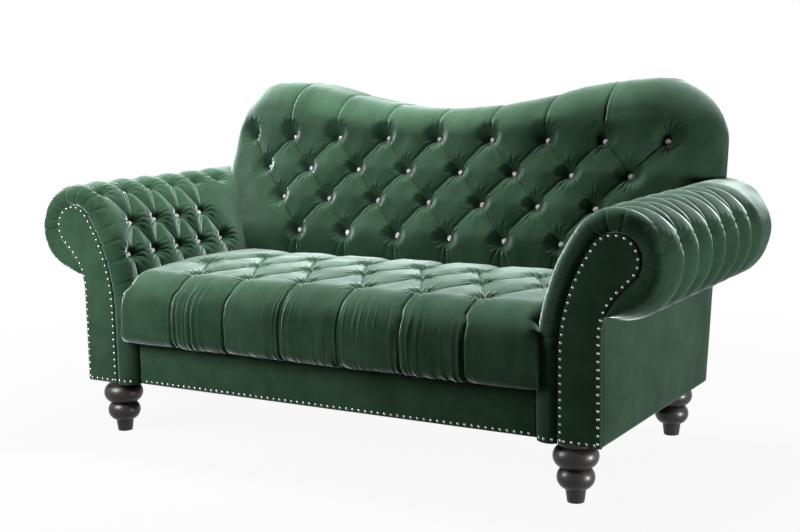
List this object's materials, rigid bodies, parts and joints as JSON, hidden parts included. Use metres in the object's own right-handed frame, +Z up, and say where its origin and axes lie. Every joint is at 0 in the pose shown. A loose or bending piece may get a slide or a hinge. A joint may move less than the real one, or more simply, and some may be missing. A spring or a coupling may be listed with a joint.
{
  "type": "loveseat",
  "caption": "Button-tufted velvet loveseat with rolled arms, a reclined double-hump back, nailhead-trimmed arm facings and turned feet.",
  "frame": {"origin": "bottom centre of the bounding box, on the floor", "axes": "+X to the right seen from the front, +Y to the rear, +Z up"},
  "size_m": [1.7926, 0.8815, 0.92],
  "materials": {
    "velvet": "short-pile velvet with a soft sheen",
    "foot_lacquer": "satin black lacquer",
    "nail_metal": "polished",
    "button_metal": "polished",
    "crystal": "clear, faceted",
    "frame_timber": "sawn",
    "liner_board": "pressed board",
    "spring_steel": "drawn wire",
    "zinc_steel": "zinc plated",
    "felt": "needled felt",
    "webbing": "woven strap",
    "dust_cloth": "non-woven cloth"
  },
  "bodies": {
    "root": {"apron": "velvet", "apron_nailheads": "nail_metal", "arm_button_cups_left": "button_metal", "arm_button_cups_right": "button_metal", "arm_crystals_left": "crystal", "arm_crystals_right": "crystal", "arm_facing_left": "velvet", "arm_facing_right": "velvet", "arm_front_board_left": "frame_timber", "arm_front_board_right": "frame_timber", "arm_inner_rail_left": "frame_timber", "arm_inner_rail_right": "frame_timber", "arm_liner_left": "liner_board", "arm_liner_right": "liner_board", "arm_nailheads_left": "nail_metal", "arm_nailheads_right": "nail_metal", "arm_outer_rail_left": "frame_timber", "arm_outer_rail_right": "frame_timber", "arm_pad_left": "velvet", "arm_pad_right": "velvet", "arm_rear_board_left": "frame_timber", "arm_rear_board_right": "frame_timber", "arm_top_rail_left": "frame_timber", "arm_top_rail_right": "frame_timber", "back_bottom_rail": "frame_timber", "back_button_cups": "button_metal", "back_crystals": "crystal", "back_pad": "velvet", "back_post_left": "frame_timber", "back_post_right": "frame_timber", "back_rear_rail": "frame_timber", "back_top_rail": "frame_timber", "back_upright_left": "frame_timber", "back_upright_right": "frame_timber", "back_webbing": "webbing", "centre_stretcher": "frame_timber", "corner_blocks": "frame_timber", "corner_screws": "zinc_steel", "dust_cover": "dust_cloth", "foot_bolts": "zinc_steel", "foot_front_left": "foot_lacquer", "foot_front_right": "foot_lacquer", "foot_inserts": "zinc_steel", "foot_rear_left": "foot_lacquer", "foot_rear_right": "foot_lacquer", "frame_dowels": "frame_timber", "front_rail": "frame_timber", "outside_arm_left": "velvet", "outside_arm_right": "velvet", "outside_back": "velvet", "rear_rail": "frame_timber", "seat_buttons": "velvet", "seat_cushion": "velvet", "seat_rail_left": "frame_timber", "seat_rail_right": "frame_timber", "seat_springs": "spring_steel", "side_rail_left": "frame_timber", "side_rail_right": "frame_timber", "spring_clips": "zinc_steel", "spring_cover": "felt"}
  },
  "joints": []
}
